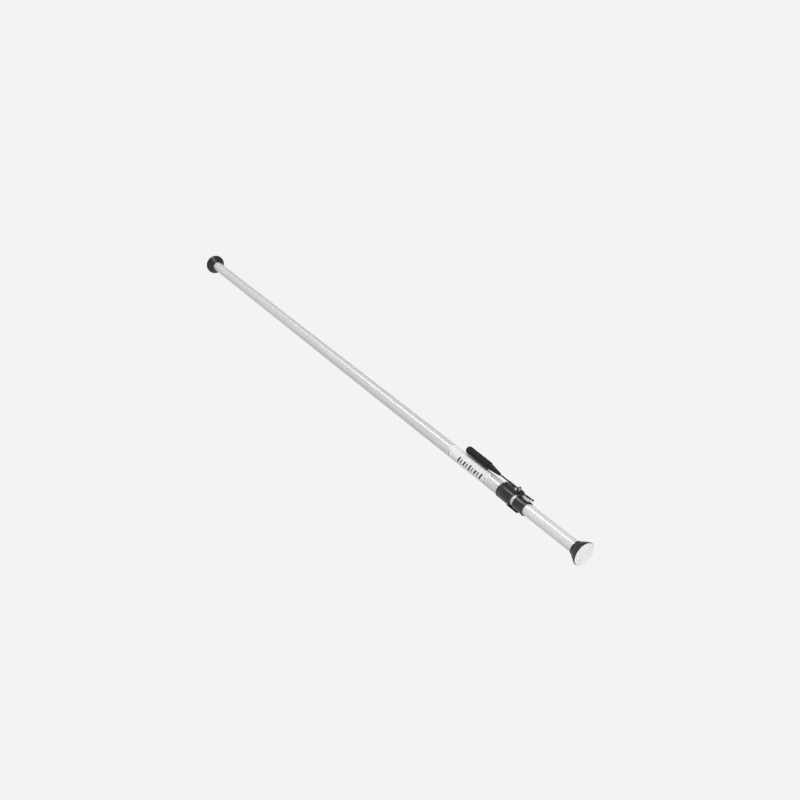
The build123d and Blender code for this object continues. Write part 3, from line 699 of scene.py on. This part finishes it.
def make_studio():
    """Soft light all round, with a long overhead strip that fades at one end and a panel past the other."""
    world = bpy.data.worlds.new("studio")
    bpy.context.scene.world = world
    world.use_nodes = True
    world.node_tree.nodes.clear()
    n = Nodes(world.node_tree)
    split = n.add("ShaderNodeSeparateXYZ")
    n.link(n.add("ShaderNodeTexCoord").outputs["Generated"], split.inputs["Vector"])
    angle = n.math("ARCTAN2", split.outputs["Z"], n.math("MULTIPLY", split.outputs["Y"], -1.0))
    ramp = n.add("ShaderNodeValToRGB")
    stops = ramp.color_ramp.elements
    for i, (degrees, radiance) in enumerate(STUDIO):
        position = (degrees + 180.0) / 360.0
        stop = stops[i] if i < 2 else stops.new(position)
        stop.position = position
        stop.color = (radiance, radiance, radiance, 1.0)
    n.link(n.spread(angle, -math.pi, math.pi), ramp.inputs["Fac"])
    off_strip = n.math("ABSOLUTE", n.math("SUBTRACT", angle, STRIP_ANGLE))
    strip = n.spread(off_strip, STRIP_CORE, STRIP_EDGE, STRIP_RADIANCE, 0.0, smooth=True)
    reach = n.spread(split.outputs["X"], *STRIP_ENDS, smooth=True)
    beyond_end = n.spread(split.outputs["X"], *END_LIGHT_RISE, 0.0, END_LIGHT, smooth=True)
    around = n.math("ADD", ramp.outputs["Color"], beyond_end)
    light = n.add("ShaderNodeBackground")
    n.link(n.math("MULTIPLY_ADD", strip, reach, around), light.inputs["Strength"])
    light.inputs["Color"].default_value = (1, 1, 1, 1)
    paper = n.add("ShaderNodeBackground")
    paper.inputs["Color"].default_value = (BACKGROUND, BACKGROUND, BACKGROUND, 1)
    choose = n.add("ShaderNodeMixShader")
    n.link(n.add("ShaderNodeLightPath").outputs["Is Camera Ray"], choose.inputs["Fac"])
    n.link(light.outputs["Background"], choose.inputs[1])
    n.link(paper.outputs["Background"], choose.inputs[2])
    n.link(choose.outputs["Shader"], n.add("ShaderNodeOutputWorld").inputs["Surface"])


def make_floor():
    """A plain pale floor well below the bar, as bright as the backdrop."""
    mesh = bpy.data.meshes.new("floor")
    corners = [(x * FLOOR_HALF, y * FLOOR_HALF, FLOOR_Z) for x, y in ((-1, -1), (1, -1), (1, 1), (-1, 1))]
    mesh.from_pydata(corners, [], [(0, 1, 2, 3)])
    material = bpy.data.materials.new("floor")
    material.use_nodes = True
    tree = material.node_tree
    tree.nodes.clear()
    glow = tree.nodes.new("ShaderNodeEmission")
    glow.inputs["Color"].default_value = (BACKGROUND, BACKGROUND, BACKGROUND, 1)
    output = tree.nodes.new("ShaderNodeOutputMaterial")
    tree.links.new(glow.outputs["Emission"], output.inputs["Surface"])
    mesh.materials.append(material)
    floor = bpy.data.objects.new("floor", mesh)
    bpy.context.scene.collection.objects.link(floor)
    floor.visible_diffuse = False
    floor.visible_glossy = False
    floor.visible_transmission = False
    floor.visible_shadow = False


# ---- camera ----------------------------------------------------------------------------------------------
CAMERA_LENS = 33.6
CAMERA_SENSOR = 36.0
CAMERA_PAST_END = 0.944
CAMERA_AWAY = 1.785
CAMERA_HEADING = math.radians(44.27)
CAMERA_TILT = math.radians(0.578)
CAMERA_ROUND_BAR = math.radians(42.4)
LEVER_PLANE_TURN = math.radians(20.0)
BAR_SLOPE = math.radians(37.58)


def make_camera():
    """Looks back along the bar from past its inner foot, rolled so that the bar runs down to the right."""
    away_angle = CAMERA_ROUND_BAR + LEVER_PLANE_TURN
    away = Vector((0, -math.sin(away_angle), math.cos(away_angle)))
    across = Vector((0, math.cos(away_angle), math.sin(away_angle)))
    along = Vector((1, 0, 0))
    forward = -math.cos(CAMERA_HEADING) * along - math.sin(CAMERA_HEADING) * away
    forward = (math.cos(CAMERA_TILT) * forward + math.sin(CAMERA_TILT) * across).normalized()
    along = (along - along.dot(forward) * forward).normalized()
    over = (across - across.dot(forward) * forward - across.dot(along) * along).normalized()
    right = math.cos(BAR_SLOPE) * along + math.sin(BAR_SLOPE) * over
    up = -math.sin(BAR_SLOPE) * along + math.cos(BAR_SLOPE) * over
    data = bpy.data.cameras.new("camera")
    data.lens = CAMERA_LENS
    data.sensor_width = CAMERA_SENSOR
    data.clip_end = 200
    camera = bpy.data.objects.new("camera", data)
    bpy.context.scene.collection.objects.link(camera)
    place = Vector((BAR_LENGTH + CAMERA_PAST_END, 0, 0)) + CAMERA_AWAY * away
    rotation = Matrix((right, up, -forward)).transposed().to_4x4()
    camera.matrix_world = Matrix.Translation(place) @ rotation
    bpy.context.scene.camera = camera


finish_cad_nodes()
tube(
    "outer_tube_drawn", OUTER_TUBE_LOW, OUTER_TUBE_HIGH, OUTER_TUBE_R, "outer_section",
    FINISHES["tube_aluminium"], "outer_tube"
)
tube(
    "inner_tube_drawn", INNER_TUBE_LOW, INNER_TUBE_HIGH, INNER_TUBE_R, "inner_section",
    INNER_FINISH, "inner_tube"
)
label_film()
label_print()
foot("outer_foot", "outer_section", OUTER_TUBE_R, OUTER_FOOT_NECK_R, flip=False)
foot("inner_foot", "inner_section", INNER_TUBE_R, INNER_FOOT_NECK_R, flip=True)
grip()
stem()
return_spring()
make_studio()
make_floor()
make_camera()
bpy.context.scene.view_settings.view_transform = "Standard"
